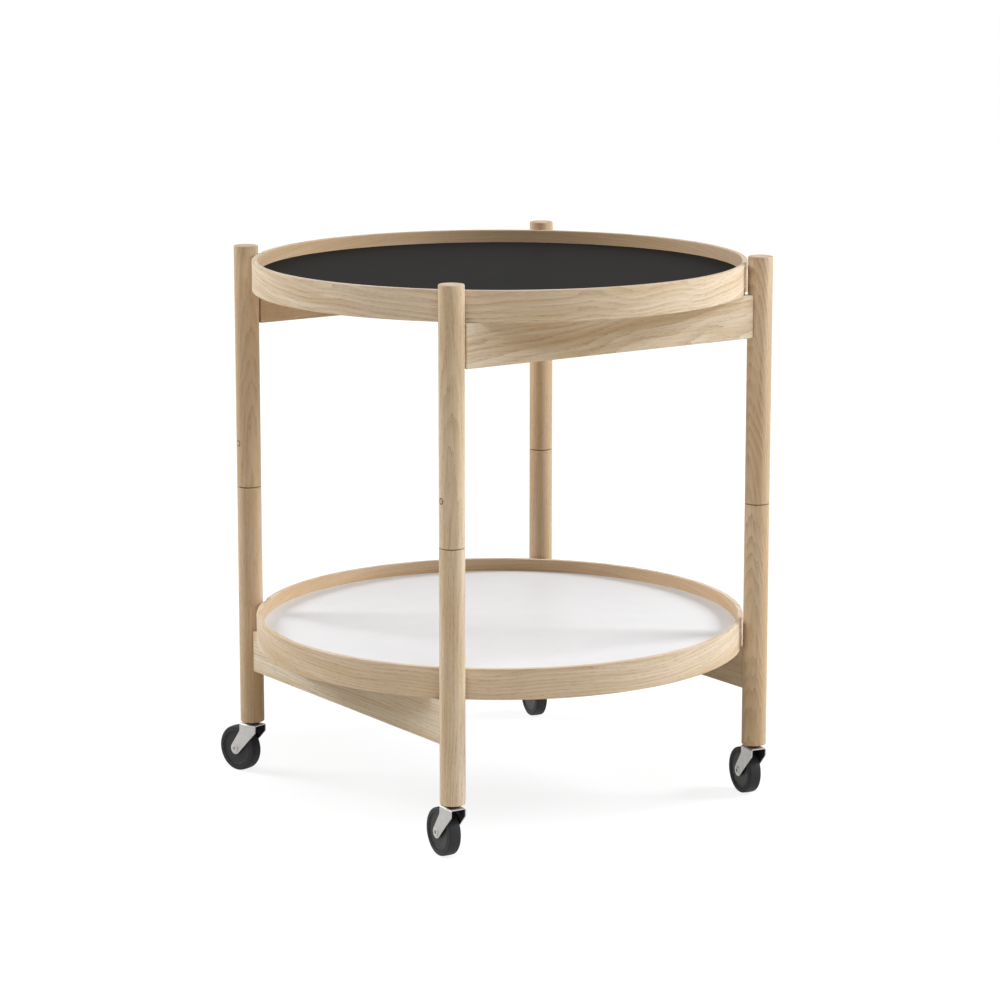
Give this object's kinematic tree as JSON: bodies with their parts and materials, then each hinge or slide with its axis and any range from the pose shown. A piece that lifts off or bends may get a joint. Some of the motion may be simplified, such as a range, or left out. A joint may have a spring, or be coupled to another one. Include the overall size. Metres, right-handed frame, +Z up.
{
  "type": "serving trolley",
  "caption": "Serving trolley on swivel casters: slim turned oak legs joined by crossed rails, carrying round lift-off trays with raised bent rims.",
  "frame": {"origin": "on the floor, midway between the legs", "axes": "+Z up; +X along the upper rails, +Y along the lower rails; the trolley's front, as pictured, is the corner between -X and -Y"},
  "size_m": [0.5, 0.5, 0.558],
  "materials": {
    "oak_leg": "turned solid oak, soap-treated, pale and matt, grain along the leg",
    "oak_rail": "planed solid oak, soap-treated, pale and matt, grain along the rail",
    "oak_rim": "bent solid oak, soap-treated, pale and matt, grain round the rim",
    "oak_plug": "oak dowel end, end grain, flush and matt",
    "birch_core": "thin plywood, hidden between the facings",
    "black_laminate": "matt black laminate with a soft sheen",
    "white_laminate": "matt white laminate with a soft sheen",
    "steel": "bright turned steel",
    "bush_nylon": "plain nylon",
    "dark_nylon": "dark nylon washer",
    "black_nylon": "moulded black nylon, lightly textured",
    "tyre_rubber": "smooth dark rubber tread",
    "zinc_steel": "zinc-plated pressed sheet steel, satin"
  },
  "bodies": {
    "frame": {"caster_sockets": "zinc_steel", "leg_joint_washers": "dark_nylon", "leg_pivot_bushes": "bush_nylon", "leg_pivot_pins": "steel", "leg_plugs": "oak_plug", "lower_leg_back_left": "oak_leg", "lower_leg_back_right": "oak_leg", "lower_leg_front_left": "oak_leg", "lower_leg_front_right": "oak_leg", "lower_rail_left": "oak_rail", "lower_rail_right": "oak_rail", "pin_lock_screws": "steel", "upper_leg_back_left": "oak_leg", "upper_leg_back_right": "oak_leg", "upper_leg_front_left": "oak_leg", "upper_leg_front_right": "oak_leg", "upper_rail_back": "oak_rail", "upper_rail_front": "oak_rail"},
    "upper_tray": {"upper_tray_black_top": "black_laminate", "upper_tray_core": "birch_core", "upper_tray_rim": "oak_rim", "upper_tray_white_underside": "white_laminate"},
    "lower_tray": {"lower_tray_black_underside": "black_laminate", "lower_tray_core": "birch_core", "lower_tray_rim": "oak_rim", "lower_tray_white_top": "white_laminate"},
    "caster_front_left": {"caster_fork_front_left": "zinc_steel", "caster_stem_front_left": "zinc_steel", "caster_collar_front_left": "zinc_steel", "caster_axle_front_left": "zinc_steel"},
    "wheel_front_left": {"wheel_centre_front_left": "black_nylon", "wheel_tyre_front_left": "tyre_rubber"},
    "caster_front_right": {"caster_fork_front_right": "zinc_steel", "caster_stem_front_right": "zinc_steel", "caster_collar_front_right": "zinc_steel", "caster_axle_front_right": "zinc_steel"},
    "wheel_front_right": {"wheel_centre_front_right": "black_nylon", "wheel_tyre_front_right": "tyre_rubber"},
    "caster_back_left": {"caster_fork_back_left": "zinc_steel", "caster_stem_back_left": "zinc_steel", "caster_collar_back_left": "zinc_steel", "caster_axle_back_left": "zinc_steel"},
    "wheel_back_left": {"wheel_centre_back_left": "black_nylon", "wheel_tyre_back_left": "tyre_rubber"},
    "caster_back_right": {"caster_fork_back_right": "zinc_steel", "caster_stem_back_right": "zinc_steel", "caster_collar_back_right": "zinc_steel", "caster_axle_back_right": "zinc_steel"},
    "wheel_back_right": {"wheel_centre_back_right": "black_nylon", "wheel_tyre_back_right": "tyre_rubber"}
  },
  "joints": [
    {"name": "upper_tray_lift", "type": "slide", "parent": "frame", "child": "upper_tray", "axis": [0, 0, 1], "range_m": [0, 0.15]},
    {"name": "lower_tray_lift", "type": "slide", "parent": "frame", "child": "lower_tray", "axis": [0, 0, 1], "range_m": [0, 0.285]},
    {"name": "swivel_front_left", "type": "hinge", "parent": "frame", "child": "caster_front_left", "pos_m": [-0.1865, -0.1865, 0.05], "axis": [0, 0, 1], "continuous": true},
    {"name": "wheel_spin_front_left", "type": "hinge", "parent": "caster_front_left", "child": "wheel_front_left", "pos_m": [-0.18493, -0.16857, 0.024], "axis": [-0.9962, 0.0872, 0], "continuous": true},
    {"name": "swivel_front_right", "type": "hinge", "parent": "frame", "child": "caster_front_right", "pos_m": [0.1865, -0.1865, 0.05], "axis": [0, 0, 1], "continuous": true},
    {"name": "wheel_spin_front_right", "type": "hinge", "parent": "caster_front_right", "child": "wheel_front_right", "pos_m": [0.18993, -0.16883, 0.024], "axis": [-0.9816, 0.1908, 0], "continuous": true},
    {"name": "swivel_back_left", "type": "hinge", "parent": "frame", "child": "caster_back_left", "pos_m": [-0.1865, 0.1865, 0.05], "axis": [0, 0, 1], "continuous": true},
    {"name": "wheel_spin_back_left", "type": "hinge", "parent": "caster_back_left", "child": "wheel_back_left", "pos_m": [-0.19116, 0.20389, 0.024], "axis": [-0.9659, -0.2588, 0], "continuous": true},
    {"name": "swivel_back_right", "type": "hinge", "parent": "frame", "child": "caster_back_right", "pos_m": [0.1865, 0.1865, 0.05], "axis": [0, 0, 1], "continuous": true},
    {"name": "wheel_spin_back_right", "type": "hinge", "parent": "caster_back_right", "child": "wheel_back_right", "pos_m": [0.19055, 0.20404, 0.024], "axis": [-0.9744, 0.225, 0], "continuous": true}
  ]
}
